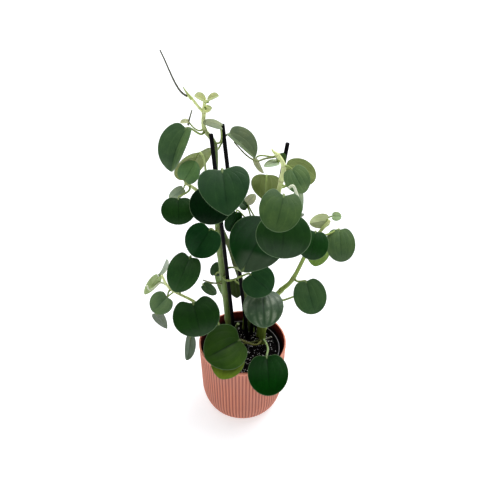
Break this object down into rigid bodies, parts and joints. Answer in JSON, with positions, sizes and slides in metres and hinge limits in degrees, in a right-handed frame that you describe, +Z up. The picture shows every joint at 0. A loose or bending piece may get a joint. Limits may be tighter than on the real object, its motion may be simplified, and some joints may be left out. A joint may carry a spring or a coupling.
{
  "type": "potted plant",
  "caption": "Potted peperomia staked upright: heart-shaped glossy green leaves on pale stems, in a pink ribbed cover pot with a black nursery pot and soil.",
  "frame": {"origin": "middle of the cover pot's flat base", "axes": "+Z up, -Y towards the front that the picture shows, +X to the right as seen from the front"},
  "size_m": [0.308, 0.2126, 0.6353],
  "materials": {
    "pot": "dusty pink, matt",
    "nursery_pot": "black, matt",
    "soil": "dark potting soil with white grains",
    "stake": "black, satin",
    "stem": "pale yellow-green, satin",
    "leaf": "dark green, waxy",
    "pale_leaf": "pale green underside, satin"
  },
  "bodies": {
    "root": {"pot": "pot", "nursery_pot": "nursery_pot", "soil": "soil", "stake_left": "stake", "stake_middle": "stake", "stake_right": "stake", "stem_left": "stem", "stem_middle": "stem", "stem_right": "stem", "stem_leader": "stem", "stem_low": "stem", "stem_shoot": "stem", "leaf_heart": "leaf", "leaf_behind_heart": "leaf", "leaf_tall": "leaf", "leaf_side": "leaf", "leaf_up": "leaf", "leaf_underside": "pale_leaf", "leaf_edge": "leaf", "leaf_top_right": "leaf", "leaf_far_right": "pale_leaf", "leaf_olive": "pale_leaf", "leaf_mid_right": "leaf", "leaf_round": "leaf", "leaf_wide": "leaf", "leaf_upright": "leaf", "leaf_under_wide": "leaf", "leaf_glossy": "leaf", "leaf_low_right": "leaf", "leaf_right_end": "leaf", "leaf_right_mid": "leaf", "leaf_right_back": "pale_leaf", "leaf_fold": "leaf", "leaf_left_round": "leaf", "leaf_left_wide": "leaf", "leaf_left_pale": "pale_leaf", "leaf_left_hang": "pale_leaf", "leaf_hang": "leaf", "leaf_front_left": "leaf", "leaf_front_under": "pale_leaf", "leaf_front_right": "leaf", "leaf_inner_dark": "leaf", "leaf_inner_left": "leaf", "leaf_inner_pale": "pale_leaf", "leaf_inner_low": "leaf", "leaf_back_upper": "leaf", "leaf_back_right": "leaf", "leaf_back_middle": "leaf", "leaf_back_low": "leaf", "leaf_back_left": "leaf", "leaf_back_side": "leaf", "leaf_back_base": "leaf", "leaf_back_rim": "leaf", "leaf_back_rim_left": "leaf"}
  },
  "joints": []
}
